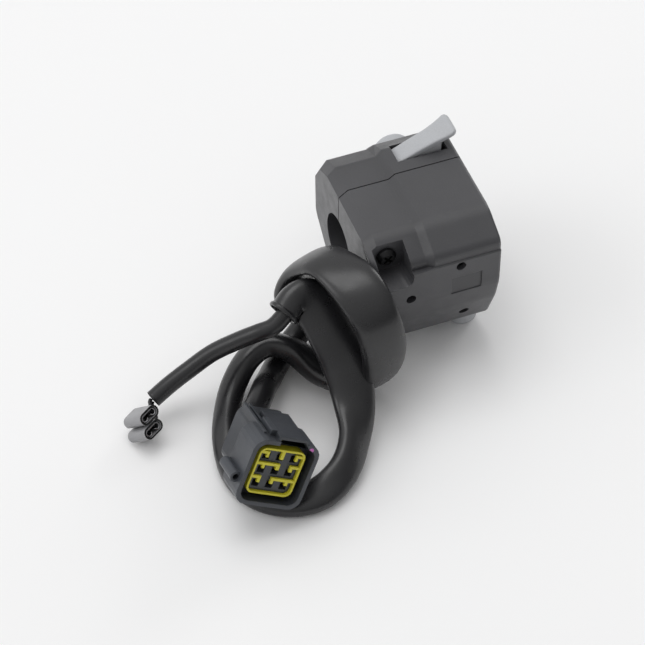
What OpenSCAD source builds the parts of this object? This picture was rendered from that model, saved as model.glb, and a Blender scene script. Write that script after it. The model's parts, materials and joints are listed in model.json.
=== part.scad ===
// Left-hand handlebar switch cluster with its harness, lying on its thumb controls.
// +X runs along the bar towards the grip, +Z is up as it lies, and +Y is up on the bike.
// The origin is on the bar's axis, halfway along the housing.

/* [Bar clamp] */
// Diameter of the handlebar that the housing closes on
bar_d = 22.2; // [21.8:0.1:23]
// Length of the housing along the bar
housing_len = 47; // [46:0.5:50]
// Slit between the two halves
parting_gap = 0.4; // [0.2:0.1:0.8]
// Wall around the bar
bore_wall = 2.4; // [2:0.1:2.8]

/* [Housing] */
// Height of the flat top above the bar's axis
top_h = 26.5; // [26:0.5:30]
// Distance of the drain face from the bar's axis
front_reach = 38.8; // [38:0.2:42]
// Distance of the back face from the bar's axis
back_reach = 28; // [27.6:0.2:31]
// Depth of the thumb panel below the bar's axis
panel_depth = 24.3; // [23.8:0.1:26]
// Outer wall
wall = 2.2; // [1.8:0.1:2.6]
// Length of the narrower collar at the inboard end
collar_len = 19; // [17:0.5:20]
// Step from the main body down to the collar
collar_step = 1.8; // [1.2:0.1:2.2]
// Length of the bevel between collar and main body
bevel_len = 2.5; // [1.5:0.1:4]
// Length of the chamfer on the collar's end
chamfer_len = 3.5; // [2:0.1:4]
// Depth of the chamfer on the collar's end
chamfer_in = 2.7; // [1.5:0.1:3]
// Edge break on the outboard end
rim_in = 1.2; // [0.6:0.1:1.6]

/* [Screws and drains] */
// Diameter of the clamp screw heads
screw_head_d = 7; // [6:0.2:7.4]
// Diameter of the clamp screw shanks
screw_d = 4; // [3:0.1:4.4]
// Height of the clamp screw heads
screw_head_h = 2.6; // [2:0.1:3]
// Diameter of the drain holes
drain_d = 3.7; // [2.5:0.1:4.5]
// Depth of the bare badge recess
badge_in = 0.5; // [0.3:0.1:0.8]

/* [Pass lever] */
// Width of the trigger
lever_w = 8.4; // [6:0.1:9]
// Swing of the trigger in degrees
lever_swing = 12; // [6:1:14]
// Reach of the trigger past its pivot
lever_reach = 18.9; // [17:0.1:22]
// Height of the trigger's tip above the housing top
lever_rise = 8.3; // [7.5:0.1:11]
// Diameter of the trigger's pivot pin
pivot_d = 2.6; // [2:0.1:3]

/* [Dimmer button] */
// Diameter of the dome button
dimmer_d = 15; // [12:0.5:16]
// Travel of the dome button
dimmer_travel = 2; // [1:0.1:2.5]
// How far the dome stands out of the back face
dimmer_out = 5; // [4:0.5:7]

/* [Thumb controls] */
// How far the thumb controls stand out of the panel
knob_out = 9.7; // [9:0.1:12]
// Slide of the indicator knob to each side
turn_travel = 4; // [2:0.5:4]
// Push of the indicator knob to cancel
cancel_travel = 1.5; // [1:0.1:1.7]
// Length of the indicator knob along the bar
turn_knob_w = 10; // [8:0.2:10.4]
// Travel of the horn button
horn_travel = 2.5; // [1.5:0.1:2.6]
// Side of the horn button's stem
horn_stem = 7; // [6:0.2:7.2]

/* [Harness] */
// Diameter of the sheathed clutch lead
lead_d = 6.4; // [5.6:0.1:6.6]
// Diameter of the connector's wire bundle
bundle_d = 9; // [7:0.2:9]
// Side of the connector's shroud
shroud = 25.4; // [24.6:0.2:26]
// Side of the connector's yellow lock
lock_side = 17.8; // [17:0.1:18]
// Length of the connector
plug_len = 25.5; // [24:0.5:27]
// Length of the terminal covers
flag_len = 10.5; // [9:0.1:11]

/* [Hidden] */
$fn = 48;
eps = 0.02;
slip = 0.06;
clear = 0.4;
bore_r = bar_d / 2;
boss_r = bore_r + bore_wall;
x_in = -housing_len / 2;
x_out = housing_len / 2;
x_bevel = x_in + collar_len;
x_main = x_bevel + bevel_len;
panel_z = -panel_depth;
rest_z = panel_z - knob_out;

// Colours
dark_grey = [0.16, 0.16, 0.17];
light_grey = [0.62, 0.63, 0.65];
black = [0.05, 0.05, 0.055];
slate = [0.2, 0.21, 0.23];
steel = [0.7, 0.7, 0.72];
brass = [0.78, 0.62, 0.3];
yellow = [0.8, 0.74, 0.12];
orange = [0.8, 0.3, 0.12];
cream = [0.75, 0.73, 0.66];

// Housing section corners as [y, z, radius], clockwise seen from the grip end
crease_z = 16;
crease_in = 0.6;
foot_y = 8.6;
foot_rise = 15.3;
main_corners = [
    [13, top_h + 0.9, 3], [back_reach - 7.2, top_h - 3.6, 5], [back_reach, 14.2, 6],
    [back_reach - 0.5, -6, 9], [8, panel_z, 5], [foot_y - front_reach, panel_z, 3],
    [2.3 - front_reach, panel_z + foot_rise, 20], [-front_reach, 1, 20], [-front_reach, crease_z, 0],
    [crease_in - front_reach, crease_z + 0.3, 0], [crease_in - front_reach, top_h - 6.2, 4],
    [12.8 - front_reach, top_h, 14]];
collar_corners = [
    [12, top_h + 0.9 - collar_step, 4], [back_reach - 7, top_h - 3.2 - collar_step, 4],
    [back_reach - collar_step, 13, 6], [back_reach - 0.7 - collar_step, -6, 8], [6, panel_z, 5],
    [foot_y - front_reach, panel_z, 3], [2.3 - front_reach, panel_z + foot_rise, 20],
    [-front_reach, 1, 20], [-front_reach, crease_z, 0],
    [crease_in + collar_step - front_reach, crease_z - 0.6, 0],
    [crease_in + collar_step - front_reach, top_h - 8.2, 4], [14.3 - front_reach, top_h - collar_step, 12]];

// Clamp screws
screw_x = x_in + 7;
screw_seat_y = 11.3 - front_reach;
upper_screw_z = bore_r + 6.4;
lower_screw_z = panel_z + 6.3;
insert_d = screw_d + 2;
insert_len = 8;

// Cavity inside both halves
cavity_x0 = x_in + 15.5;
cavity_x1 = x_out - wall;
exit_y = -26;
exit_z = -4;
grommet_r = 6.2;
grommet_rim = 8;
grommet_bore = 3.8;
exit_wall = 3.5;

// Pass lever
lever_y = 9.8;
pivot_x = 4.5;
pivot_z = top_h - 6.5;
boss_top = sqrt(pow(boss_r, 2) - pow(lever_y - lever_w / 2 - 0.4, 2));
ledge_z = max(top_h - 12.5, boss_top + clear);
web_z = ledge_z + 4;
web_x = pivot_x + 14;
web_half = lever_w * 0.41;
root_x = pivot_x - 2.3;
root_z = top_h - 1.7;
// Blade stations: part of the run, part of the climb, part of the lever width, thickness
blade_form = [[0, 0, 0.9, 2.6], [0.3, 0.27, 0.93, 2.8], [0.62, 0.56, 0.98, 2.8], [0.84, 0.79, 1.15, 2.5],
    [0.94, 0.92, 1.24, 2.4], [0.985, 1, 1.14, 2], [1, 1.04, 0.9, 1]];
tip_x = pivot_x + lever_reach;
tip_z = top_h + lever_rise;
slot_side = 0.4;
rib_w = 2.6;
pass_spring_x = pivot_x + 9.5;

// Dimmer button
dimmer_x = 9;
dimmer_z = 8;
flange_y = back_reach - 4.6;
dimmer_seat_y = bore_r + 3.9;
dimmer_disc = 2;

// Turn switch, heights measured inwards from the panel's outer face
turn_y = 23.8 - front_reach;
slider_x = 6.5;
slider_h0 = wall + 0.5;
slider_h1 = slider_h0 + 6.7;
slider_back = 6;
slider_front = 9;
stem_x = 5;
stem_y = 6;
stem_flange = 1.2;
plunger_in = 3;
flange_h0 = slider_h0 + 0.9;
flange_h1 = flange_h0 + 1.4;
pocket_h1 = slider_h1 - 1.2;
ball_r = 1.2;
ball_y = turn_y - 6.2;
ball_h = slider_h1 - 0.05;
base_h0 = slider_h1 + clear;
base_h1 = base_h0 + 2;
post_x = 6.5;
post_y = 11.4 - front_reach;
post_w = 3.8;
post_h0 = wall + 2.8;
board_h0 = base_h1 + 0.05;
board_h1 = board_h0 + 1.6;
board_screw_d = 2;
board_edge = 0.7;
function boss_side(h) = sqrt(max(0, pow(boss_r, 2) - pow(panel_depth - h, 2))) + clear;

// Horn
horn_x = x_out - 6.9;
horn_y = 18.2 - front_reach;
horn_cap_r = 6.2;
horn_cap_off = 0.6;
leaf_y = horn_y + 7;
leaf_w = 3;
horn_flange = 0.8;
horn_flange_h0 = wall + 0.6;
horn_top_h = horn_flange_h0 + 2.6;

// Connector place and lean
plug_at = [-79.3, -85.3, -9.6];
plug_turn = [-15.5, 29, 2];
rim_out = 1.7;
shroud_wall = 1.6;
rear_side = 18.6;
lock_t = 4;
lock_wall = 0.75;
core_y = 1.3;
// Keeper fingers across and up the lock, as parts of its inner side
lock_fingers = [[0, 0.2, 0.89, 0.95], [0.14, 0.2, 0.81, 0.9], [0.47, 0.55, 0.8, 1], [0.82, 1, 0.88, 0.94],
    [0.82, 0.88, 0.8, 0.89], [0, 0.54, 0.63, 0.69], [0.14, 0.2, 0.55, 0.64], [0.46, 0.54, 0.55, 0.64],
    [0.78, 1, 0.62, 0.68], [0.78, 0.85, 0.54, 0.63], [0, 0.22, 0.31, 0.37], [0.15, 0.22, 0.22, 0.32],
    [0.46, 1, 0.3, 0.36], [0.46, 0.53, 0.22, 0.31], [0.8, 0.87, 0.22, 0.31]];
cell = 5.4;
terminal_side = 2.4;
seal_side = 16;
seal_t = 3;
seal_out = 1;
seal_corner = 2.4;

// Terminals on the clutch lead
flag_at = [[-110.7, -32.5, -24.8], [-110.6, -36.3, -28.4]];
flag_turn = [-42, 0, 34];
flag_w = 9;
flag_h = 4.4;
flag_wall = 0.6;
socket_r = 1.3;
socket_t = 0.35;

// Loom route: place, width direction, width, thickness
sleeve_route = [
    [-25.5, -26, -4, 0, 0, 1, 11, 9],
    [-31, -26, -4.5, 0, 0.2, 1, 12, 9],
    [-38, -20, -10, -0.5, -0.3, 0.8, 14, 8],
    [-43, -12, -15, -0.8, -0.45, 0.35, 17, 7],
    [-43.6, -7.6, -8, -0.86, -0.42, 0.25, 19, 6.5],
    [-40.8, -11.5, 6, -0.86, -0.44, 0.2, 18.5, 6],
    [-36.8, -22.4, 16.8, -0.8, -0.58, 0.2, 17, 6],
    [-32, -38.3, 18.6, -0.92, -0.31, -0.2, 17, 6],
    [-28.8, -49.6, 10.8, -0.96, 0, -0.2, 17, 6],
    [-26.6, -52.3, -3.5, -0.96, -0.1, 0.2, 17, 6.5],
    [-27.6, -50, -18, -0.9, -0.35, 0.2, 16, 7],
    [-34, -42, -26, -0.88, -0.4, 0.2, 16, 7],
    [-43.3, -33, -26, -0.75, -0.65, 0.2, 14, 8],
    [-51.2, -25.4, -20.8, -0.6, -0.7, 0.5, 11, 8.5],
    [-58.6, -21.4, -19.2, -0.1, -0.9, 0.6, 9.5, 8.5],
    [-66.6, -22.9, -21.2, 0.4, -0.7, 0.6, 9, 8.5],
    [-74.2, -28.6, -25.5, 0.6, -0.6, 0.6, 9, 8.5],
    [-80.2, -37.4, -28.2, 0.7, -0.3, 0.6, 9, 8.5],
    [-85.5, -50, -29, 0.8, -0.1, 0.4, 9, 8.5],
    [-87.5, -63, -29.8, 0.9, 0.1, 0, 9.5, 8],
    [-84, -75.2, -30.5, 0.7, 0.6, 0, 10.5, 6.6],
    [-75, -82.8, -30.8, 0.3, 0.8, 0, 11, 6.2],
    [-63, -84, -29.6, -0.3, 0.8, 0.3, 12, 7],
    [-52, -78.8, -27.5, -0.45, 0.45, 0.65, 12, 7],
    [-44.2, -69, -25, -0.65, 0, 0.6, 13.5, 6.5],
    [-39.8, -57.8, -20, -0.9, 0.14, 0.25, 15.5, 6.5],
    [-39, -48.1, -11.2, -0.95, -0.05, -0.15, 17, 6.5],
    [-41, -38.8, -2, -0.96, -0.19, -0.2, 17.5, 6.5],
    [-44, -31, 5.2, -0.81, -0.41, -0.41, 17, 7],
    [-47, -28.2, 7.8, -0.48, -0.62, -0.6, 14.5, 8],
    [-51, -27.9, 7.9, 0.01, -0.72, -0.69, 11.4, 9.5],
    [-55, -29.7, 5.9, 0.42, -0.64, -0.6, 10.6, 10.6]];
mouth_steps = 3;
mouth_wall = 1;

// Lead routes
lead_route = [
    [-51.8, -28.7, 6.9], [-55, -30.3, 5.1], [-60.4, -31.8, 1.8], [-65.6, -30.7, -0.4], [-72.3, -28.1, -4.6],
    [-80.8, -25.1, -10.6], [-89.7, -24.4, -16.8], [-97.5, -24.7, -21.6], [-104, -25.9, -25.2]];
bundle_route = [
    [-41, -13, -23.2], [-46.2, -15.4, -26.2], [-52, -18.8, -28.9], [-56.5, -23.2, -29.3],
    [-61, -28.8, -28.2], [-65.4, -35.2, -25], [-69, -41.4, -22], [-73.2, -47.6, -20],
    [-78.3, -53.8, -18.6], [-79.7, -59.4, -16.8]];
wire_routes = [
    [[-105, -26.2, -24.6], [-105.7, -27.2, -24.8], [-106, -28.7, -24.8], [-107.2, -30.15, -24.8]],
    [[-104.4, -26.05, -26.4], [-105, -27.4, -27], [-105, -30.2, -28], [-105.3, -32.4, -28.4],
        [-107.1, -33.95, -28.4]]];
wire_d = 1.4;
core_d = 1.3;
core_pitch = 1.45;
core_side = 5;

// Vector and curve helpers
function unit(v) = v / norm(v);
function cross2(a, b) = a[0] * b[1] - a[1] * b[0];
function turned(v, a) = [v[0] * cos(a) - v[1] * sin(a), v[0] * sin(a) + v[1] * cos(a)];
function corner_arc(a, p, b, r, n) =
    r == 0 ? [p] :
    let (u = unit(p - a), v = unit(b - p), turn = atan2(cross2(u, v), u * v),
        s = p - u * r * tan(abs(turn) / 2), c = s + sign(turn) * r * [-u[1], u[0]])
    [for (k = [0 : n]) c + turned(s - c, turn * k / n)];
function flat(p) = [p[0], p[1]];
function outline(cs, n = 4) =
    let (m = len(cs))
    [for (i = [0 : m - 1])
        each corner_arc(flat(cs[(i + m - 1) % m]), flat(cs[i]), flat(cs[(i + 1) % m]), cs[i][2], n)];
function inset(o, d) =
    let (m = len(o))
    [for (i = [0 : m - 1])
        let (u = unit(o[i] - o[(i + m - 1) % m]), v = unit(o[(i + 1) % m] - o[i]),
            nu = [u[1], -u[0]], nv = [v[1], -v[0]])
        o[i] + d * (nu + nv) / (1 + nu * nv)];
function catmull(p, k) =
    let (m = len(p), q = [2 * p[0] - p[1], each p, 2 * p[m - 1] - p[m - 2]])
    [for (i = [1 : m - 1]) for (j = [0 : k - 1])
        let (t = j / k, a = q[i - 1], b = q[i], c = q[i + 1], d = q[i + 2])
        0.5 * (2 * b + (c - a) * t + (2 * a - 5 * b + 4 * c - d) * t * t
            + (3 * b - a - 3 * c + d) * t * t * t), p[m - 1]];
function xyz(v) = [v[0], v[1], v[2]];
function heading(c, i) = unit(xyz(c[min(i + 1, len(c) - 1)]) - xyz(c[max(i - 1, 0)]));
function power(v, e) = sign(v) * pow(abs(v), e);
function oval_ring(at, t, wide, w, h, n, e) =
    let (a = unit(wide - t * (wide * t)), b = cross(t, a))
    [for (s = [0 : n - 1])
        let (g = -360 * s / n) at + a * w / 2 * power(cos(g), e) + b * h / 2 * power(sin(g), e)];
function sleeve_rings(route, k, n, e = 0.8) =
    let (c = catmull(route, k))
    [for (i = [0 : len(c) - 1])
        oval_ring(xyz(c[i]), heading(c, i), [c[i][3], c[i][4], c[i][5]],
            c[i][6], c[i][7], n, e)];
function side_of(t) = abs(t[2]) > 0.9 ? [1, 0, 0] : [0, 0, 1];
function tube_rings(c, d, n) =
    [for (i = [0 : len(c) - 1])
        let (t = heading(c, i)) oval_ring(c[i], t, side_of(t), d, d, n, 1)];
function coil(r, h, turns, steps = 9) =
    [for (i = [0 : turns * steps]) [r * cos(360 * i / steps), r * sin(360 * i / steps), h * i / (turns * steps)]];
function least_gap(rings, apart) =
    min([for (i = [0 : len(rings) - 1]) for (j = [i + apart : 1 : len(rings) - 1])
        for (p = rings[i]) for (q = rings[j]) norm(p - q)]);

// Closed solid through rings of equal count, each clockwise seen from the last ring's side
module loft(rings) {
    n = len(rings[0]);
    m = len(rings);
    sides = [for (i = [0 : m - 2]) for (j = [0 : n - 1])
        let (a = i * n + j, b = i * n + (j + 1) % n)
        each [[a, b, b + n], [a, b + n, a + n]]];
    polyhedron(
        points = [for (r = rings) each r],
        faces = concat([[for (j = [n - 1 : -1 : 0]) j]], sides, [[for (j = [0 : n - 1]) (m - 1) * n + j]]));
}
module along_x(x0, x1) {
    translate([x0, 0, 0]) rotate([90, 0, 90]) linear_extrude(x1 - x0) children();
}
module along_y(y0, y1) {
    translate([0, y1, 0]) rotate([90, 0, 0]) linear_extrude(y1 - y0) children();
}
module rod_x(x0, x1, y, z, r) {
    along_x(x0, x1) translate([y, z]) circle(r);
}
module rod_y(y0, y1, x, z, r) {
    along_y(y0, y1) translate([x, z]) circle(r);
}
module rod_z(z0, z1, x, y, r) {
    translate([x, y, z0]) cylinder(r = r, h = z1 - z0);
}
module block(a, b) {
    translate(a) cube(b - a);
}
// Block centred on a place in x and y, between two heights above the panel's outer face
module panel_block(x, y, sx, sy, h0, h1) {
    block([x - sx / 2, y - sy / 2, panel_z + h0], [x + sx / 2, y + sy / 2, panel_z + h1]);
}
module spring(r, h, turns, wire) {
    translate([0, 0, wire / 2]) loft(tube_rings(coil(r, h - wire, turns), wire, 6));
}
module plug_place() {
    translate(plug_at) rotate([0, 0, plug_turn[2]]) rotate([plug_turn[0], 0, 0]) rotate([0, plug_turn[1], 0])
        children();
}
module rounded_square(side, r) {
    q = side / 2;
    polygon(outline([[-q, q, r], [q, q, r], [q, -q, r], [-q, -q, r]]));
}

// Outer form of the closed housing
module housing_form() {
    collar = outline(collar_corners, 7);
    body = outline(main_corners, 7);
    stations = [[x_in, inset(collar, chamfer_in)], [x_in + chamfer_len, collar], [x_bevel, collar],
        [x_main, body], [x_out - rim_in, body], [x_out - rim_in * 0.3, inset(body, rim_in * 0.3)],
        [x_out, inset(body, rim_in)]];
    loft([for (s = stations) [for (p = s[1]) [s[0], p[0], p[1]]]]);
}
module cavity() {
    difference() {
        union() {
            along_x(cavity_x0, cavity_x1) polygon(inset(outline(collar_corners), wall));
            // Room for the indicator slide at the collar's edge
            block([cavity_x0 - 3, turn_y - 15.5, panel_z + wall], [cavity_x0 + 1, turn_y + 8, panel_z + 14.8]);
            // Wire passage to the grommet
            block([x_in + exit_wall, exit_y - 7.8, exit_z - 7.6], [cavity_x0 + 1, exit_y + 8.5, exit_z + 10.5]);
        }
        rod_x(x_in - 1, x_out + 1, 0, 0, boss_r);
    }
}
module lower_half_space() {
    block([x_in - 5, -front_reach - 5, panel_z - 5], [x_out + 5, -parting_gap / 2, top_h + 5]);
}
module upper_half_space() {
    block([x_in - 5, parting_gap / 2, panel_z - 5], [x_out + 5, back_reach + 5, top_h + 5]);
}
module screw_pocket(z, up) {
    near = up ? z - 6.8 : z + 4.5;
    far = up ? top_h + 9 : panel_z - 9;
    x1 = up ? screw_x + 6.3 : screw_x + 3.8;
    along_y(-front_reach - 9, screw_seat_y)
        polygon(outline(up
            ? [[screw_x - 5.2, far, 0], [x1, far, 0], [x1, near, 3], [screw_x - 5.2, near, 1]]
            : [[screw_x - 4.2, near, 1], [x1, near, 1], [x1, far, 0], [screw_x - 4.2, far, 0]]));
}

module switch_shell() {
    color(dark_grey) difference() {
        union() {
            difference() {
                intersection() {
                    housing_form();
                    lower_half_space();
                }
                cavity();
            }
            // Bosses under the switch posts
            for (s = [-1, 1])
                panel_block(s * post_x, post_y, post_w, post_w, wall - eps, post_h0);
        }
        rod_x(x_in - 1, x_out + 1, 0, 0, bore_r);
        screw_pocket(upper_screw_z, true);
        screw_pocket(lower_screw_z, false);
        for (z = [upper_screw_z, lower_screw_z])
            rod_y(screw_seat_y - 1, 1, screw_x, z, screw_d / 2 + slip);
        rod_x(x_in - 1, x_in + exit_wall + 1, exit_y, exit_z, grommet_r);
        // Drain holes
        for (p = [[7.8, 13.8], [-11, 3.8], [12.2, -16.2]])
            rod_y(-front_reach - 1, -front_reach + 12, p[0], p[1], drain_d / 2);
        // Bare badge recess
        along_y(-front_reach - 1, -front_reach + badge_in)
            polygon([[4.5, 8.6], [16, 8.6], [16, 0.4], [4.5, 0.4]]);
        // Indicator slot, horn opening and thread holes
        panel_block(0, turn_y, stem_x + 2 * (turn_travel + clear), stem_y + 2 * clear, -1, wall + 1);
        panel_block(horn_x, horn_y, horn_stem + 2 * clear, horn_stem + 2 * clear, -1, wall + 1);
        for (s = [-1, 1])
            rod_z(panel_z + wall - 0.4, panel_z + post_h0 + 1, s * post_x, post_y, board_screw_d / 2 + slip / 2);
    }
}

module cover_shell() {
    slot_w = lever_w + 2 * slot_side;
    color(dark_grey) difference() {
        union() {
            difference() {
                intersection() {
                    housing_form();
                    upper_half_space();
                }
                difference() {
                    cavity();
                    // Ledge under the trigger and seat behind the dome button
                    block([pivot_x + 2, lever_y - slot_w / 2, 0], [web_x + 2, lever_y + slot_w / 2, ledge_z]);
                    block([dimmer_x - 7, 5, dimmer_z - 6.5], [dimmer_x + 7, dimmer_seat_y, dimmer_z + 5.4]);
                    // Ribs that hold the pivot pin
                    block([pivot_x - 3.5, lever_y - slot_w / 2 - rib_w, ledge_z + 0.4],
                        [pivot_x + 3.5, lever_y - slot_w / 2, top_h]);
                    block([pivot_x - 3.5, lever_y + slot_w / 2, ledge_z + 0.4],
                        [pivot_x + 3.5, lever_y + slot_w / 2 + rib_w, top_h]);
                }
            }
        }
        rod_x(x_in - 1, x_out + 1, 0, 0, bore_r);
        // Trigger slot
        block([pivot_x - 3.2, lever_y - slot_w / 2, ledge_z + 0.5], [web_x + 2, lever_y + slot_w / 2, top_h + 3]);
        rod_y(lever_y - slot_w / 2 - rib_w - 1, lever_y + slot_w / 2 + rib_w - 0.3, pivot_x, pivot_z,
            pivot_d / 2 + slip / 2);
        // Dome button opening with room for its flange
        rod_y(dimmer_seat_y, flange_y + clear, dimmer_x, dimmer_z, dimmer_d / 2 + 1.6);
        rod_y(dimmer_seat_y, back_reach + 2, dimmer_x, dimmer_z, dimmer_d / 2 + clear / 2);
        for (z = [upper_screw_z, lower_screw_z])
            rod_y(-1, insert_len + 1.5, screw_x, z, insert_d / 2 + slip / 2);
    }
}

module clamp_screws() {
    color(black) for (z = [upper_screw_z, lower_screw_z])
        difference() {
            union() {
                translate([screw_x, screw_seat_y, z]) rotate([90, 0, 0]) rotate_extrude()
                    polygon([[0, 0], [screw_head_d / 2, 0], [screw_head_d / 2, screw_head_h * 0.55],
                        [screw_head_d * 0.36, screw_head_h], [0, screw_head_h]]);
                rod_y(screw_seat_y - eps, insert_len - 0.5, screw_x, z, screw_d / 2);
            }
            // Cross recess
            for (a = [45, 135])
                translate([screw_x, screw_seat_y - screw_head_h, z]) rotate([0, a, 0])
                    cube([screw_head_d * 0.56, 2.4, 0.9], center = true);
        }
}

module screw_inserts() {
    color(brass) for (z = [upper_screw_z, lower_screw_z])
        difference() {
            rod_y(parting_gap / 2, insert_len, screw_x, z, insert_d / 2);
            rod_y(parting_gap / 2 - 1, insert_len + 1, screw_x, z, screw_d / 2 + slip / 2);
        }
}

module pass_lever() {
    half = lever_w / 2;
    run = tip_x - root_x;
    climb = tip_z - root_z;
    blade = [for (b = blade_form)
        [root_x + b[0] * run, lever_y, root_z + b[1] * climb, 0, 1, 0, b[2] * lever_w, b[3]]];
    color(light_grey) difference() {
        union() {
            // Flared finger blade on a narrower web
            loft(sleeve_rings(blade, 2, 28, 0.45));
            along_y(lever_y - web_half, lever_y + web_half)
                polygon([[pivot_x - 2, pivot_z - 1], [pivot_x - 2, root_z + 0.2],
                    [web_x, root_z + (web_x - root_x) / run * climb * 0.94], [web_x, web_z], [pivot_x + 2.6, web_z]]);
            rod_y(lever_y - half, lever_y + half, pivot_x, pivot_z, pivot_d / 2 + 1.7);
        }
        rod_y(lever_y - half - 1, lever_y + half + 1, pivot_x, pivot_z, pivot_d / 2 + slip);
    }
}

module pass_pivot_pin() {
    reach = lever_w / 2 + slot_side + rib_w;
    color(steel) rod_y(lever_y - reach + 0.2, lever_y + reach - 0.5, pivot_x, pivot_z, pivot_d / 2);
}

module pass_spring() {
    color(steel) translate([pass_spring_x, lever_y, ledge_z + 0.05]) spring(1.9, web_z - ledge_z - 0.1, 4, 0.6);
}

module pass_switch() {
    color(black) union() {
        block([pivot_x + 3, lever_y - 3, ledge_z], [pivot_x + 6.6, lever_y + 3, ledge_z + 1.6]);
        rod_z(ledge_z + 1.5, ledge_z + 2.6, pivot_x + 4.8, lever_y, 1);
    }
}

module dimmer_button() {
    r = dimmer_d / 2;
    color(light_grey) difference() {
        translate([dimmer_x, flange_y, dimmer_z]) rotate([-90, 0, 0]) rotate_extrude()
            polygon([[0, -1.6], [r + 1.1, -1.6], [r + 1.1, 0], [r, 0], [r, back_reach - flange_y + dimmer_out - 3.4],
                for (a = [15 : 15 : 75]) [r * (0.4 + 0.6 * cos(a)),
                    back_reach - flange_y + dimmer_out - 3.4 + 3.4 * sin(a)],
                [r * 0.4, back_reach - flange_y + dimmer_out], [0, back_reach - flange_y + dimmer_out]]);
        // Hollow inside
        rod_y(flange_y - 2, flange_y + 5, dimmer_x, dimmer_z, r - 3);
    }
}

module dimmer_spring() {
    seat = dimmer_seat_y + dimmer_disc;
    color(steel) translate([dimmer_x, seat + 0.05, dimmer_z]) rotate([-90, 0, 0])
        spring(dimmer_d / 2 - 1.9, flange_y - 1.7 - seat, 3, 0.7);
}

module dimmer_switch() {
    color(black) union() {
        rod_y(dimmer_seat_y, dimmer_seat_y + dimmer_disc, dimmer_x, dimmer_z, 6);
        rod_y(dimmer_seat_y + dimmer_disc - eps, dimmer_seat_y + dimmer_disc + 1, dimmer_x, dimmer_z, 1.5);
    }
}

module turn_knob() {
    head_top = panel_z - cancel_travel - 0.8;
    long = 16;
    color(light_grey) difference() {
        // Head with a narrower thumb ridge
        hull() {
            translate([0, turn_y + 1, head_top - 1.6]) linear_extrude(1.6)
                polygon(outline([[-turn_knob_w / 2, long / 2, 2.5], [turn_knob_w / 2, long / 2, 2.5],
                    [turn_knob_w / 2, -long / 2, 2.5], [-turn_knob_w / 2, -long / 2, 2.5]]));
            translate([0, turn_y + 1, rest_z]) linear_extrude(0.6)
                polygon(outline([[-2.6, long / 2 - 1, 1.5], [2.6, long / 2 - 1, 1.5],
                    [2.6, 1 - long / 2, 1.5], [-2.6, 1 - long / 2, 1.5]]));
        }
        // Socket for the plunger
        panel_block(0, turn_y, stem_x + slip, stem_y + slip, head_top - panel_z - plunger_in - slip, 0);
    }
}

module turn_plunger() {
    color(cream) union() {
        panel_block(0, turn_y, stem_x, stem_y, -cancel_travel - 0.8 - plunger_in, flange_h0 + eps);
        panel_block(0, turn_y, stem_x + stem_flange, stem_y + stem_flange, flange_h0, flange_h1);
    }
}

module turn_slider() {
    color(cream) difference() {
        block([-slider_x, turn_y - slider_front, panel_z + slider_h0],
            [slider_x, turn_y + slider_back, panel_z + slider_h1]);
        panel_block(0, turn_y, stem_x + 1.5 * clear, stem_y + 1.5 * clear, slider_h0 - 1, slider_h0 + 0.7);
        panel_block(0, turn_y, stem_x + stem_flange + 1.5 * clear, stem_y + stem_flange + 1.5 * clear,
            slider_h0 + 0.6, pocket_h1);
        rod_z(panel_z + slider_h0 + 2.8, panel_z + slider_h1 + 1, 0, ball_y, ball_r + slip);
    }
}

module turn_spring() {
    color(steel) translate([0, turn_y, panel_z + flange_h1 + 0.05])
        spring(2, pocket_h1 - flange_h1 - 0.1, 3, 0.45);
}

module turn_base() {
    color(cream) difference() {
        union() {
            block([-slider_x - turn_travel, post_y - post_w / 2, panel_z + base_h0],
                [slider_x + turn_travel, turn_y + slider_back - 1, panel_z + base_h1]);
            for (s = [-1, 1])
                panel_block(s * post_x, post_y, post_w, post_w, post_h0, base_h0 + eps);
        }
        rod_x(-slider_x - turn_travel - 1, slider_x + turn_travel + 1, ball_y, panel_z + ball_h, ball_r + 0.3);
        for (s = [-1, 1])
            rod_z(panel_z, panel_z + base_h1 + 1, s * post_x, post_y, board_screw_d / 2 + slip);
    }
}

module turn_detent_ball() {
    color(steel) translate([0, ball_y, panel_z + ball_h]) sphere(ball_r);
}

module turn_detent_spring() {
    floor_h = slider_h0 + 2.8;
    color(steel) translate([0, ball_y, panel_z + floor_h + 0.05])
        spring(0.8, ball_h - ball_r - floor_h - 0.1, 3, 0.35);
}

module horn_button() {
    cap_top = panel_z - horn_travel - 0.7;
    color(light_grey) difference() {
        union() {
            hull() {
                translate([horn_cap_off, horn_cap_off, 0]) {
                    rod_z(cap_top - 1.2, cap_top, horn_x, horn_y, horn_cap_r);
                    rod_z(rest_z + 1.6, rest_z + 2, horn_x, horn_y, horn_cap_r - 0.3);
                    rod_z(rest_z, rest_z + 0.4, horn_x, horn_y, horn_cap_r - 1.6);
                }
            }
            panel_block(horn_x, horn_y, horn_stem, horn_stem, cap_top - panel_z - 1, horn_top_h);
            panel_block(horn_x, horn_y, horn_stem + 2 * horn_flange, horn_stem + 2 * horn_flange,
                horn_flange_h0, horn_flange_h0 + 1.4);
        }
        // Spring well
        rod_z(panel_z - 1, panel_z + horn_top_h + 1, horn_x, horn_y, horn_stem / 2 - 1);
    }
}

module horn_spring() {
    color(steel) translate([horn_x, horn_y, panel_z - 0.95])
        spring(horn_stem / 2 - 1.6, board_h0 + 0.5, 5, 0.7);
}

module horn_contact() {
    color(brass) union() {
        panel_block(horn_x, leaf_y, 2 * leaf_w, leaf_w, board_h0 - 0.5, board_h0);
        panel_block(horn_x, leaf_y - leaf_w / 2, leaf_w / 2, leaf_w * 1.6, board_h0 - 0.9, board_h0 - 0.45);
    }
}

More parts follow.
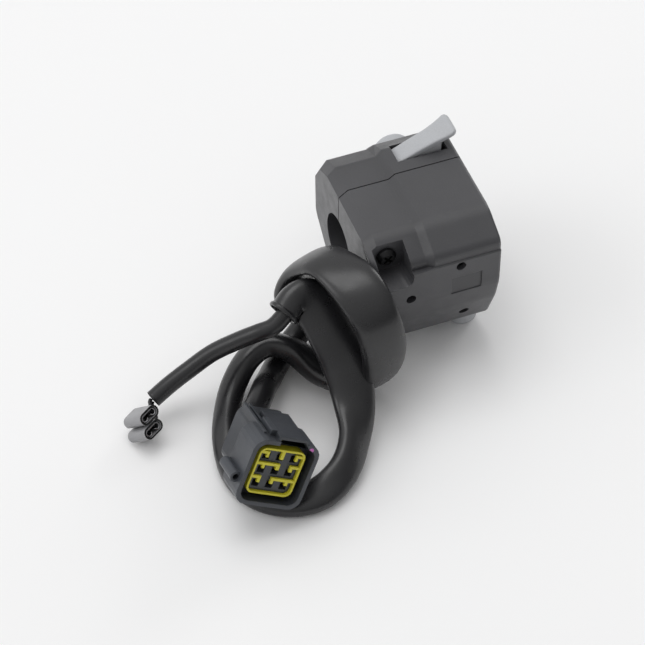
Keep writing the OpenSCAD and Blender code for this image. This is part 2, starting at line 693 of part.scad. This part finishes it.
module switch_board() {
    color([0.12, 0.28, 0.16]) difference() {
        block([-slider_x - turn_travel + 0.6, post_y - post_w / 2 - 1, panel_z + board_h0],
            [cavity_x1 - board_edge, min(turn_y + slider_back - 2, -boss_side(board_h1)), panel_z + board_h1]);
        for (s = [-1, 1])
            rod_z(panel_z, panel_z + board_h1 + 1, s * post_x, post_y, board_screw_d / 2 + slip);
    }
}

module board_screws() {
    color(steel) for (s = [-1, 1])
        union() {
            rod_z(panel_z + wall - 0.2, panel_z + board_h1 + eps, s * post_x, post_y, board_screw_d / 2);
            rod_z(panel_z + board_h1, panel_z + board_h1 + 1.4, s * post_x, post_y, board_screw_d * 0.9);
        }
}

module inner_wires() {
    z0 = panel_z + board_h1 + 0.1;
    color(black) for (i = [0 : 4])
        let (y = exit_y + core_pitch * (i - 2))
        loft(tube_rings(catmull([[-slider_x + 2, y + core_side, z0 + core_d / 2],
            [-slider_x - 1, y + core_side, z0 + core_d / 2 + 0.7],
            [x_in + 9, y, exit_z], [x_in + 5, y, exit_z], [x_in - 1, y, exit_z]], 3), core_d, 8));
}

module loom_grommet() {
    color(black) difference() {
        translate([x_in, exit_y, exit_z]) rotate([0, 90, 0]) rotate_extrude()
            polygon([[grommet_bore, -1.2], [grommet_rim, -1.2], [grommet_rim, -0.05], [grommet_r - 0.05, -0.05],
                [grommet_r - 0.05, exit_wall + 0.05], [7.4, exit_wall + 0.05], [7, exit_wall + 1.3],
                [grommet_bore, exit_wall + 1.3]]);
    }
}

module loom_sleeve() {
    rings = sleeve_rings(sleeve_route, 2, 12);
    last = len(rings) - 1;
    echo(sleeve_gap = least_gap(rings, 7));
    // The open mouth follows the sleeve's own last rings, one wall inside
    inner = sleeve_rings([for (r = sleeve_route)
        [r[0], r[1], r[2], r[3], r[4], r[5], r[6] - 2 * mouth_wall, r[7] - 2 * mouth_wall]], 2, 12);
    t = heading(catmull(sleeve_route, 2), last);
    color(black) difference() {
        loft(rings);
        loft(concat([for (i = [last - mouth_steps:last]) inner[i]], [[for (q = inner[last]) q + t]]));
    }
}

module clutch_lead() {
    color(black) loft(tube_rings(catmull(lead_route, 2), lead_d, 10));
}

module clutch_wires() {
    color(black) for (r = wire_routes)
        loft(tube_rings(catmull(r, 3), wire_d, 8));
}

module flag_place(i) {
    translate(flag_at[i]) rotate(flag_turn) children();
}
module terminal_covers() {
    color(light_grey) for (i = [0, 1])
        flag_place(i) difference() {
            along_y(-flag_len / 2, flag_len / 2) flag_oval(0);
            along_y(-flag_len / 2 - 1, flag_len / 2 - 2) flag_oval(flag_wall);
            // Wire entry at the side
            rod_x(flag_w / 2 - flag_wall - 1, flag_w / 2 + 1, 0, 0, wire_d / 2 + 0.3);
        }
}
module flag_oval(smaller) {
    w = flag_w / 2 - smaller;
    h = flag_h / 2 - smaller;
    r = h - 0.05;
    polygon(outline([[-w, h, r], [w, h, r], [w, -h, r], [-w, -h, r]]));
}

module terminal_sockets() {
    reach = flag_w / 2 - flag_wall - socket_r - 0.5;
    color(steel) for (i = [0, 1])
        flag_place(i) along_y(-flag_len / 2 + 0.5, flag_len / 2 - 2.2) union() {
            translate([-reach, socket_r - socket_t]) square([2 * reach, socket_t]);
            // Rolled lips
            for (m = [0, 1])
                mirror([m, 0]) translate([reach, 0]) difference() {
                    circle(socket_r);
                    circle(socket_r - socket_t);
                    translate([-socket_r - 0.1, -0.3]) square([socket_r + 0.1, socket_r - socket_t + 0.3]);
                }
        }
}

module connector_lead() {
    color(black) loft(tube_rings(catmull(bundle_route, 2), bundle_d, 12));
}

module connector_housing() {
    half = shroud / 2;
    low = rear_side / 2;
    rear = plug_len - rim_out;
    color(slate) plug_place() difference() {
        union() {
            // Mating shroud, and the slimmer rear body that is level with it on top
            along_y(-rim_out, 11) rounded_square(shroud, 4.5);
            along_y(10, rear) rounded_square(rear_side, 3.5);
            translate([0, 0, half - low - 0.8]) along_y(10, rear) rounded_square(rear_side, 3.5);
            // Keyway hood with its guide and ribs
            along_y(-rim_out + 0.4, 17) polygon([[-4.6, half - 2], [-4.6, half + 1.6], [6.2, half + 1.6],
                [half - 0.2, half - 5], [half - 3, half - 6.5]]);
            block([-6.6, 2, half - 2], [-4.4, 11, half + 2.2]);
            for (x = [-8.6, -6.6])
                block([x, 3, half - 2.6], [x + 1, rear - 1, half + 0.7]);
            // Mounting rail underneath
            block([5.2, 16, -low - 2.4], [8.4, rear, 2 - low]);
            // Side lug
            translate([-half - 1.2, 0, -4]) along_y(0.5, 11) circle(2);
            block([-half - 1.2, 2, -5], [-half + 1, 10, -3]);
        }
        // Socket round the terminal core
        difference() {
            along_y(-rim_out - 1, lock_t) rounded_square(shroud - 2 * shroud_wall, 3.4);
            along_y(core_y, lock_t + 1) rounded_square(lock_side - 2 * lock_wall - 0.3, 1.9);
        }
        // Hood slot, rear seal pocket and lug hole
        along_y(-rim_out - 1, 12) polygon([[-3.6, half - 3], [-3.6, half + 0.6], [5.8, half + 0.6],
            [half - 2.4, half - 4]]);
        along_y(rear - seal_t - 1, rear + 1) rounded_square(seal_side + 0.3, 2.5);
        translate([-half - 1.2, 0, -4]) along_y(-1, 9) circle(1.1);
        terminal_cells(0.15, core_y - 1, rear);
    }
}
module terminal_cells(wider, y0, y1) {
    s = terminal_side + 2 * wider;
    for (i = [-1 : 1]) for (k = [-1 : 1])
        block([i * cell - s / 2, y0, k * cell - s / 2], [i * cell + s / 2, y1, k * cell + s / 2]);
}

module connector_retainer() {
    inner = lock_side - 2 * lock_wall;
    reach = inner + 0.4;
    color(yellow) plug_place() difference() {
        along_y(0, lock_t - 0.05) rounded_square(lock_side, 2.6);
        difference() {
            along_y(-1, lock_t + 1) rounded_square(inner, 1.9);
            // Keeper fingers that stay
            for (f = lock_fingers)
                block([(f[0] - 0.5) * reach, 0.2, (f[2] - 0.5) * reach],
                    [(f[1] - 0.5) * reach, core_y - 0.1, (f[3] - 0.5) * reach]);
        }
    }
}

module connector_terminals() {
    color(brass) plug_place() difference() {
        terminal_cells(0, lock_t + 0.5, plug_len - rim_out - seal_t - 1.1);
        for (i = [-1 : 1]) for (k = [-1 : 1])
            block([i * cell - 0.8, lock_t, k * cell - 0.4], [i * cell + 0.8, lock_t + 7, k * cell + 0.4]);
    }
}

module wire_seal() {
    rear = plug_len - rim_out;
    color(orange) plug_place()
        along_y(rear - seal_t - 0.95, rear + seal_out) rounded_square(seal_side, seal_corner);
}

switch_shell();
cover_shell();
clamp_screws();
screw_inserts();
pass_lever();
pass_pivot_pin();
pass_spring();
pass_switch();
dimmer_button();
dimmer_spring();
dimmer_switch();
turn_knob();
turn_plunger();
turn_slider();
turn_spring();
turn_base();
turn_detent_ball();
turn_detent_spring();
horn_button();
horn_spring();
horn_contact();
switch_board();
board_screws();
inner_wires();
loom_grommet();
loom_sleeve();
clutch_lead();
clutch_wires();
terminal_covers();
terminal_sockets();
connector_lead();
connector_housing();
connector_retainer();
connector_terminals();
wire_seal();
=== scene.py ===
import json
import math
import bpy
import bmesh
from mathutils import Vector, Matrix


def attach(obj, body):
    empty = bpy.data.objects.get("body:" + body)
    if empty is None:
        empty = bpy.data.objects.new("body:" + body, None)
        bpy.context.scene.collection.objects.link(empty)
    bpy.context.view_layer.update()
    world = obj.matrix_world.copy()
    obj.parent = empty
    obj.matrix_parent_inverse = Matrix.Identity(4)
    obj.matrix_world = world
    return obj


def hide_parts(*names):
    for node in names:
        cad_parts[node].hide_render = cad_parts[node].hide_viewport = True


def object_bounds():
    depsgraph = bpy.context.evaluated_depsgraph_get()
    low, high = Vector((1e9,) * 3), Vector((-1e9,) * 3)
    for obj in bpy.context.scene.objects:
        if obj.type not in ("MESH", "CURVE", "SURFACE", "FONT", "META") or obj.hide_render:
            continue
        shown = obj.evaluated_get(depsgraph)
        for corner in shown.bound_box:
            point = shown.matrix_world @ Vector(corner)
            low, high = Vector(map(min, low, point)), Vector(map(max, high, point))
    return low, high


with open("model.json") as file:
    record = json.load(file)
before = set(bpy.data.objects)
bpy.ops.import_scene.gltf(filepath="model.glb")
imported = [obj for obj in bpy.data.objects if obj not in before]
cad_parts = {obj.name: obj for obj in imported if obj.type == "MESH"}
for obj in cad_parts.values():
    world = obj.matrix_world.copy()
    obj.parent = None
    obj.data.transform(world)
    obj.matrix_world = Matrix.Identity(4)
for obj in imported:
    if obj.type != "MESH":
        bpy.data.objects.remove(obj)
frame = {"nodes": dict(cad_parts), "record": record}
NODES = frame["nodes"]
CAD_LOW, CAD_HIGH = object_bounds()
MM = 0.001
UP = Vector((0, 0, 1))

# Camera: angles in degrees, distance in metres, photo width and scale in pixels
AZIMUTH, ELEVATION = -21, 47.5
CAMERA_AWAY = 1
PHOTO_PX, PX_PER_METRE = 645, 2750
# What the middle of the picture shows, in millimetres left of the origin and below it
AIM_LEFT, AIM_DOWN = 27.67, 35.13

# Cords: diameters in metres, steps between route points, sides of the skins
SLEEVE_D, LEAD_D, BUNDLE_D, WIRE_D = 13 * MM, 6.4 * MM, 9 * MM, 1.4 * MM
SLEEVE_STEPS, LEAD_STEPS = 8, 6
SLEEVE_SIDES, LEAD_SIDES = 40, 20
# Power of the sleeve's section: 1 is an ellipse, less is squarer
SLEEVE_POWER = 0.8
# Depth of the sleeve's open mouth in millimetres
MOUTH_DEPTH = 3.5
# Rolled rim of the mouth and its inside, in millimetres: past the sleeve's end, and wider than it
RIM = (
    (0.1, 0.6), (0.5, 1.1), (1.0, 1.2), (1.5, 0.8), (1.7, 0), (1.5, -0.9), (0.8, -1.6), (0, -2),
    (-2, -2.2), (-MOUTH_DEPTH, -2.4))

# Connector: place in millimetres, and turns in degrees about z, x and y
PLUG_AT = (-79.3, -85.3, -9.6)
PLUG_TURN = ((2, "Z"), (-15.5, "X"), (29, "Y"))
# Paint dot on the connector: place in the connector's own millimetres, radius in metres
DOT_AT, DOT_R = (8.8, -1.4, 11.1), 0.9 * MM
# Terminal covers are black where their place along this direction is below the limit
COVER_AXIS, COVER_FRONT = (-0.416, 0.616, -0.669), 0.0375

# Floor: half its side and its gap under the object, in metres
FLOOR_HALF, FLOOR_GAP = 3, 0.2 * MM
# Lamps: place in metres, side in metres, watts
LAMPS = {
    "key": ((-1.9, 0.3, 1.3), 1.2, 7),
    "top": ((-0.2, 0.6, 2.4), 1.6, 16),
    "rim": ((1.7, 1.0, 0.9), 0.8, 7)}
LAMP_AIM = Vector((-0.04, -0.03, 0))
# World light: brightest direction, range of facing, level at each end of it, strength
WORLD_FACING = (-0.5, 0.35, 0.79)
WORLD_RANGE = (-0.2, 0.9)
WORLD_LEVEL = (0.35, 1.15)
WORLD_STRENGTH = 0.74

# Colours that more than one material shares, or that are painted on
BLACK_PVC = (0.013, 0.013, 0.0145)
COVER_BLACK = (0.006, 0.006, 0.007)
DOT_MAGENTA = (0.5, 0.12, 0.42)


def add_object(name, data):
    obj = bpy.data.objects.new(name, data)
    bpy.context.scene.collection.objects.link(obj)
    return obj


# Camera at the photograph's angle, with a long lens
def make_camera():
    azimuth, elevation = math.radians(AZIMUTH), math.radians(ELEVATION)
    back = Vector((
        math.sin(azimuth) * math.cos(elevation),
        -math.cos(azimuth) * math.cos(elevation),
        math.sin(elevation)))
    right = Vector((math.cos(azimuth), math.sin(azimuth), 0))
    up = back.cross(right)
    data = bpy.data.cameras.new("camera")
    data.sensor_width = 36
    data.lens = data.sensor_width * PX_PER_METRE * CAMERA_AWAY / PHOTO_PX
    data.clip_start, data.clip_end = 0.05, 20
    camera = add_object("camera", data)
    camera.matrix_world = Matrix((right, up, back)).transposed().to_4x4()
    camera.location = back * CAMERA_AWAY - right * AIM_LEFT * MM - up * AIM_DOWN * MM
    bpy.context.scene.camera = camera


make_camera()


# Smooth curve through route points, with any number of values in each
def catmull(points, steps):
    before = [2 * a - b for a, b in zip(points[0], points[1])]
    after = [2 * a - b for a, b in zip(points[-1], points[-2])]
    p = [before, *points, after]
    out = []
    for i in range(1, len(p) - 2):
        for j in range(steps):
            t = j / steps
            out.append([0.5 * (2 * b + (c - a) * t + (2 * a - 5 * b + 4 * c - d) * t * t
                               + (3 * b - a - 3 * c + d) * t ** 3)
                        for a, b, c, d in zip(p[i - 1], p[i], p[i + 1], p[i + 2])])
    out.append(list(points[-1]))
    return out


def headings(line):
    last = len(line) - 1
    return [(line[min(i + 1, last)] - line[max(i - 1, 0)]).normalized() for i in range(last + 1)]


def signed_power(v, e):
    return math.copysign(abs(v) ** e, v)


# Closed skin over rings of equal count
def skin(name, rings):
    bm = bmesh.new()
    rows = [[bm.verts.new(p) for p in ring] for ring in rings]
    n = len(rings[0])
    for a, b in zip(rows, rows[1:]):
        for j in range(n):
            bm.faces.new((a[j], a[(j + 1) % n], b[(j + 1) % n], b[j]))
    bm.faces.new(list(reversed(rows[0])))
    bm.faces.new(rows[-1])
    bmesh.ops.recalc_face_normals(bm, faces=bm.faces)
    for f in bm.faces:
        f.smooth = len(f.verts) == 4
    mesh = bpy.data.meshes.new(name)
    bm.to_mesh(mesh)
    bm.free()
    return add_object(name, mesh)


# Round tube along a line in metres that is nowhere upright
def tube(name, line, r):
    turns = [2 * math.pi * s / LEAD_SIDES for s in range(LEAD_SIDES)]
    rings = []
    for at, t in zip(line, headings(line)):
        a = (UP - t * UP.dot(t)).normalized()
        b = t.cross(a)
        rings.append([at + r * (a * math.cos(g) + b * math.sin(g)) for g in turns])
    return skin(name, rings)


# Node helpers for materials
class Mat:
    def __init__(self, name):
        self.mat = bpy.data.materials.new(name)
        self.mat.use_nodes = True
        self.tree = self.mat.node_tree
        self.tree.nodes.clear()
        self.out = self.tree.nodes.new("ShaderNodeOutputMaterial")
        self.coord = None

    def node(self, kind, **settings):
        n = self.tree.nodes.new(kind)
        for key, value in settings.items():
            setattr(n, key, value)
        return n

    def link(self, a, b):
        self.tree.links.new(a, b)

    def place(self):
        if self.coord is None:
            self.coord = self.node("ShaderNodeTexCoord")
        return self.coord.outputs["Object"]

    def noise(self, scale, detail=3.0, rough=0.55):
        n = self.node("ShaderNodeTexNoise")
        n.inputs["Scale"].default_value = scale
        n.inputs["Detail"].default_value = detail
        n.inputs["Roughness"].default_value = rough
        self.link(self.place(), n.inputs["Vector"])
        return n.outputs["Fac"]

    def ramp(self, fac, stops):
        n = self.node("ShaderNodeValToRGB")
        elements = n.color_ramp.elements
        for element, (position, colour) in zip(elements, stops):
            element.position = position
            element.color = (*colour, 1)
        self.link(fac, n.inputs["Fac"])
        return n.outputs["Color"]

    def mix(self, fac, a, b, mode="MIX"):
        n = self.node("ShaderNodeMix", data_type="RGBA", blend_type=mode)
        if isinstance(fac, (int, float)):
            n.inputs[0].default_value = fac
        else:
            self.link(fac, n.inputs[0])
        for socket, value in ((n.inputs[6], a), (n.inputs[7], b)):
            if isinstance(value, tuple):
                socket.default_value = (*value, 1)
            else:
                self.link(value, socket)
        return n.outputs[2]

    # Paint where the place along a direction is below a limit
    def paint_below(self, tint, along, limit, paint):
        reach = self.node("ShaderNodeVectorMath", operation="DOT_PRODUCT")
        self.link(self.place(), reach.inputs[0])
        reach.inputs[1].default_value = along
        return self.paint_under(tint, reach, limit, paint)

    # Round spot of paint
    def paint_spot(self, tint, centre, radius, paint):
        apart = self.node("ShaderNodeVectorMath", operation="DISTANCE")
        self.link(self.place(), apart.inputs[0])
        apart.inputs[1].default_value = centre
        return self.paint_under(tint, apart, radius, paint)

    def paint_under(self, tint, measure, limit, paint):
        under = self.node("ShaderNodeMath", operation="LESS_THAN")
        self.link(measure.outputs["Value"], under.inputs[0])
        under.inputs[1].default_value = limit
        return self.mix(under.outputs[0], tint, paint)


def shade(colour, k):
    return tuple(min(1, v * k) for v in colour)


def grey(level):
    return (level, level, level)


# Moulded plastic, rubber or metal: two-scale colour change, mottled gloss, fine grain, soft edges
def surface(name, colour, rough, grain=1400, depth=0.00004, spread=0.12, metallic=0.0, edge=0.0003, edge_highlight=0.0,
            specular=0.5, streak=None, spot=None, front=None):
    m = Mat(name)
    broad = m.noise(scale=60, detail=4)
    fine = m.noise(scale=grain, detail=2, rough=0.6)
    base = m.ramp(broad, [(0.3, shade(colour, 1 - spread)), (0.7, shade(colour, 1 + spread))])
    speck = m.ramp(fine, [(0.35, grey(0.86)), (0.65, grey(1))])
    tint = m.mix(0.6, base, speck, "MULTIPLY")
    # Painted highlight: convex edges are given a lighter colour, standing in for light caught on rounded
    # edges
    if edge_highlight:
        geometry = m.node("ShaderNodeNewGeometry")
        where = m.ramp(geometry.outputs["Pointiness"], [(0.5, grey(0)), (0.62, grey(edge_highlight))])
        tint = m.mix(where, tint, shade(colour, 2.4))
    if front:
        tint = m.paint_below(tint, *front)
    if spot:
        tint = m.paint_spot(tint, *spot)
    p = m.node("ShaderNodeBsdfPrincipled")
    m.link(tint, p.inputs["Base Color"])
    mottle = m.noise(scale=220)
    gloss = m.ramp(mottle, [(0.3, grey(rough * 0.85)), (0.7, grey(min(1, rough * 1.15)))])
    m.link(gloss, p.inputs["Roughness"])
    p.inputs["Metallic"].default_value = metallic
    p.inputs["Specular IOR Level"].default_value = specular
    bump = m.node("ShaderNodeBump")
    bump.inputs["Strength"].default_value = 1.0
    bump.inputs["Distance"].default_value = depth
    m.link(streak(m) if streak else fine, bump.inputs["Height"])
    if edge:
        bevel = m.node("ShaderNodeBevel", samples=6)
        bevel.inputs["Radius"].default_value = edge
        m.link(bevel.outputs["Normal"], bump.inputs["Normal"])
    m.link(bump.outputs["Normal"], p.inputs["Normal"])
    m.link(p.outputs["BSDF"], m.out.inputs["Surface"])
    return m.mat


# Turned or drawn metal lines
def brushed(m):
    mapping = m.node("ShaderNodeMapping")
    mapping.inputs["Scale"].default_value = (1, 12, 1)
    m.link(m.place(), mapping.inputs["Vector"])
    n = m.node("ShaderNodeTexNoise")
    n.inputs["Scale"].default_value = 700
    m.link(mapping.outputs["Vector"], n.inputs["Vector"])
    return n.outputs["Fac"]


def metal(name, colour, rough, metallic=1.0):
    return surface(name, colour, rough, metallic=metallic, streak=brushed, depth=0.00001)


# Loom route: place, width direction, width and thickness in millimetres
SLEEVE = [
    [-25.5, -26, -4, 0, 0, 1, 11, 9],
    [-31, -26, -4.5, 0, 0.2, 1, 12, 9],
    [-38, -20, -10, -0.5, -0.3, 0.8, 14, 8],
    [-43, -12, -15, -0.8, -0.45, 0.35, 17, 7],
    [-43.6, -7.6, -8, -0.86, -0.42, 0.25, 19, 6.5],
    [-40.8, -11.5, 6, -0.86, -0.44, 0.2, 18.5, 6],
    [-36.8, -22.4, 16.8, -0.8, -0.58, 0.2, 18, 6],
    [-32, -38.3, 18.6, -0.92, -0.31, -0.2, 18.4, 6],
    [-28.8, -49.6, 10.8, -0.96, 0, -0.2, 17, 6],
    [-26.6, -52.3, -3.5, -0.96, -0.1, 0.2, 17, 6.5],
    [-27.6, -50, -18, -0.9, -0.35, 0.2, 16, 7],
    [-34, -42, -26, -0.88, -0.4, 0.2, 16, 7],
    [-43.3, -33, -26, -0.75, -0.65, 0.2, 14, 8],
    [-51.2, -25.4, -20.8, -0.6, -0.7, 0.5, 11, 8.5],
    [-58.6, -21.4, -19.2, -0.1, -0.9, 0.6, 9.5, 8.5],
    [-66.6, -22.9, -21.2, 0.4, -0.7, 0.6, 9, 8.5],
    [-74.2, -28.6, -25.5, 0.6, -0.6, 0.6, 9, 8.5],
    [-80.2, -37.4, -28.2, 0.7, -0.3, 0.6, 9, 8.5],
    [-85.5, -50, -29, 0.8, -0.1, 0.4, 9, 8.5],
    [-87.5, -63, -29.8, 0.9, 0.1, 0, 9.5, 8],
    [-84, -75.2, -30.5, 0.7, 0.6, 0, 10.5, 6.6],
    [-75, -82.8, -30.8, 0.3, 0.8, 0, 11, 6.2],
    [-63, -84, -29.6, -0.3, 0.8, 0.3, 12, 7],
    [-52, -78.8, -27.5, -0.45, 0.45, 0.65, 12, 7],
    [-44.2, -69, -25, -0.65, 0, 0.6, 13.5, 6.5],
    [-39.8, -57.8, -20, -0.9, 0.14, 0.25, 15.5, 6.5],
    [-39, -48.1, -11.2, -0.95, -0.05, -0.15, 17, 6.5],
    [-41, -38.8, -2, -0.96, -0.19, -0.2, 17.5, 6.5],
    [-44, -31, 5.2, -0.81, -0.41, -0.41, 17, 7],
    [-47, -28.2, 7.8, -0.48, -0.62, -0.6, 14.5, 8],
    [-51, -27.9, 7.9, 0.01, -0.72, -0.69, 11.4, 9.5],
    [-55, -29.7, 5.9, 0.42, -0.64, -0.6, 10.6, 10.6]]
# Routes of the lead, the bundle and the two terminal wires in millimetres
LEAD = [
    [-51.8, -28.7, 6.9], [-55, -30.3, 5.1], [-60.4, -31.8, 1.8], [-65.6, -30.7, -0.4], [-72.3, -28.1, -4.6],
    [-80.8, -25.1, -10.6], [-89.7, -24.4, -16.8], [-97.5, -24.7, -21.6], [-104, -25.9, -25.2]]
BUNDLE = [
    [-41, -13, -23.2], [-46.2, -15.4, -26.2], [-52, -18.8, -28.9], [-56.5, -23.2, -29.3],
    [-61, -28.8, -28.2], [-65.4, -35.2, -25], [-69, -41.4, -22], [-73.2, -47.6, -20],
    [-78.3, -53.8, -18.6], [-79.7, -59.4, -16.8]]
WIRES = [
    [[-105, -26.2, -24.6], [-105.7, -27.2, -24.8], [-106, -28.7, -24.8], [-107.2, -30.15, -24.8]],
    [[-104.4, -26.05, -26.4], [-105, -27.4, -27], [-105, -30.2, -28], [-105.3, -32.4, -28.4],
        [-107.1, -33.95, -28.4]]]


# One ring of the flat sleeve, across its heading t
def sleeve_ring(at, t, wide, w, h):
    a = (wide - t * wide.dot(t)).normalized()
    b = t.cross(a)
    out = []
    for s in range(SLEEVE_SIDES):
        g = -2 * math.pi * s / SLEEVE_SIDES
        out.append(at + a * w / 2 * signed_power(math.cos(g), SLEEVE_POWER)
                   + b * h / 2 * signed_power(math.sin(g), SLEEVE_POWER))
    return out


def make_sleeve():
    line = catmull(SLEEVE, SLEEVE_STEPS)
    places = [Vector(p[:3]) for p in line]
    ways = headings(places)
    rings = []
    for p, at, t in zip(line, places, ways):
        rings.append(sleeve_ring(at, t, Vector(p[3:6]), p[6], p[7]))
    end, t, wide = places[-1], ways[-1], Vector(line[-1][3:6])
    w, h = line[-1][6:]
    for out, wider in RIM:
        rings.append(sleeve_ring(end + t * out, t, wide, w + wider, h + wider))
    obj = skin("sleeve", [[q * MM for q in r] for r in rings])
    return obj, [p * MM for p in places]


def make_lead(name, route, diameter):
    line = [Vector(p) * MM for p in catmull(route, LEAD_STEPS)]
    return tube(name, line, diameter / 2), line


black_pvc = surface("black_pvc", BLACK_PVC, 0.3, grain=900, depth=0.00002, edge=0, specular=0.6)
lead_skin = surface("lead_skin", BLACK_PVC, 0.3, grain=1200, depth=0.00002, edge=0)

# Cords, in place of their plain solids
sleeve, sleeve_line = make_sleeve()
sleeve.data.materials.append(black_pvc)
lead, lead_line = make_lead("lead", LEAD, LEAD_D)
bundle, bundle_line = make_lead("bundle", BUNDLE, BUNDLE_D)
wires = [make_lead("terminal_wire_%d" % (i + 1), route, WIRE_D)[0] for i, route in enumerate(WIRES)]
for obj in (lead, bundle, *wires):
    obj.data.materials.append(lead_skin)
for obj in (sleeve, lead, bundle, *wires):
    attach(obj, "housing")
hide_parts("loom_sleeve")
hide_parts("clutch_lead")
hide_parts("connector_lead")
for wire in wires:
    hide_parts("clutch_wires")


# Point on the connector, in its own millimetres, as a place in the frame
def plug_point(x, y, z):
    lean = Matrix.Identity(3)
    for degrees, axis in PLUG_TURN:
        lean = lean @ Matrix.Rotation(math.radians(degrees), 3, axis)
    return (Vector(PLUG_AT) + lean @ Vector((x, y, z))) * MM


# Materials of the carried-over nodes, by the record's slots
LOOKS = {
    # Housing: painted highlight on its convex edges
    "housing": surface("housing_plastic", (0.05, 0.05, 0.054), 0.36, grain=2600, depth=0.00005, spread=0.05,
                       edge_highlight=0.25),
    "control": surface("control_plastic", (0.46, 0.47, 0.49), 0.5, grain=2200, depth=0.00002, spread=0.03),
    "screw": metal("blackened_steel", (0.012, 0.012, 0.013), 0.3, metallic=0.6),
    "bright_steel": metal("bright_steel", (0.6, 0.6, 0.62), 0.28),
    "brass": metal("brass", (0.7, 0.52, 0.22), 0.3),
    "inner_plastic": surface("inner_plastic", (0.6, 0.58, 0.5), 0.45, depth=0.00002),
    "board": surface("board_laminate", (0.06, 0.16, 0.08), 0.4, grain=3000, depth=0.00002),
    "sleeve": lead_skin,
    "rubber": surface("rubber", (0.02, 0.02, 0.02), 0.7, grain=1800, depth=0.00003),
    # Connector: painted highlight on its convex edges
    "slate": surface("slate_plastic", (0.03, 0.033, 0.039), 0.38, grain=2400, depth=0.00003, edge_highlight=0.5,
                     edge=0.00035, spot=(plug_point(*DOT_AT), DOT_R, DOT_MAGENTA)),
    "yellow": surface("yellow_plastic", (0.66, 0.6, 0.03), 0.4, grain=2000, depth=0.00002, spread=0.05),
    "seal": surface("seal_rubber", (0.6, 0.13, 0.04), 0.55, depth=0.00003),
    "cover_grey": surface("cover_grey", (0.3, 0.3, 0.31), 0.4, grain=2000, depth=0.00002,
                          front=(COVER_AXIS, COVER_FRONT, COVER_BLACK)),
}
for entry in frame["record"]["subparts"]:
    obj = NODES[entry["node"]]
    obj.data.materials.clear()
    obj.data.materials.append(LOOKS[entry["material_slot"]])


# Pale floor just under the object
def make_floor():
    m = Mat("floor")
    p = m.node("ShaderNodeBsdfDiffuse")
    clouds = m.noise(scale=4, detail=2)
    m.link(m.ramp(clouds, [(0.3, (0.92, 0.92, 0.922)), (0.7, (0.93, 0.93, 0.932))]), p.inputs["Color"])
    m.link(p.outputs["BSDF"], m.out.inputs["Surface"])
    bm = bmesh.new()
    bmesh.ops.create_grid(bm, x_segments=8, y_segments=8, size=FLOOR_HALF)
    mesh = bpy.data.meshes.new("floor")
    bm.to_mesh(mesh)
    bm.free()
    mesh.materials.append(m.mat)
    floor = add_object("floor", mesh)
    floor.location.z = CAD_LOW.z - FLOOR_GAP


# World that is brighter from behind on the left, and darker from the front on the right
def make_world():
    world = bpy.data.worlds.new("studio")
    bpy.context.scene.world = world
    world.use_nodes = True
    tree = world.node_tree
    back = tree.nodes["Background"]
    place = tree.nodes.new("ShaderNodeTexCoord")
    facing = tree.nodes.new("ShaderNodeVectorMath")
    facing.operation = "DOT_PRODUCT"
    facing.inputs[1].default_value = WORLD_FACING
    level = tree.nodes.new("ShaderNodeMapRange")
    for name, value in zip(("From Min", "From Max", "To Min", "To Max"), WORLD_RANGE + WORLD_LEVEL):
        level.inputs[name].default_value = value
    tree.links.new(place.outputs["Generated"], facing.inputs[0])
    tree.links.new(facing.outputs["Value"], level.inputs["Value"])
    tree.links.new(level.outputs["Result"], back.inputs["Color"])
    back.inputs["Strength"].default_value = WORLD_STRENGTH


def make_lamps():
    for name, (at, size, power) in LAMPS.items():
        lamp = bpy.data.lights.new(name, "AREA")
        lamp.size = size
        lamp.energy = power
        obj = add_object(name, lamp)
        obj.location = at
        obj.rotation_mode = "QUATERNION"
        obj.rotation_quaternion = (LAMP_AIM - Vector(at)).to_track_quat("-Z", "Y")


make_floor()
make_world()
make_lamps()
bpy.context.scene.view_settings.view_transform = "Standard"
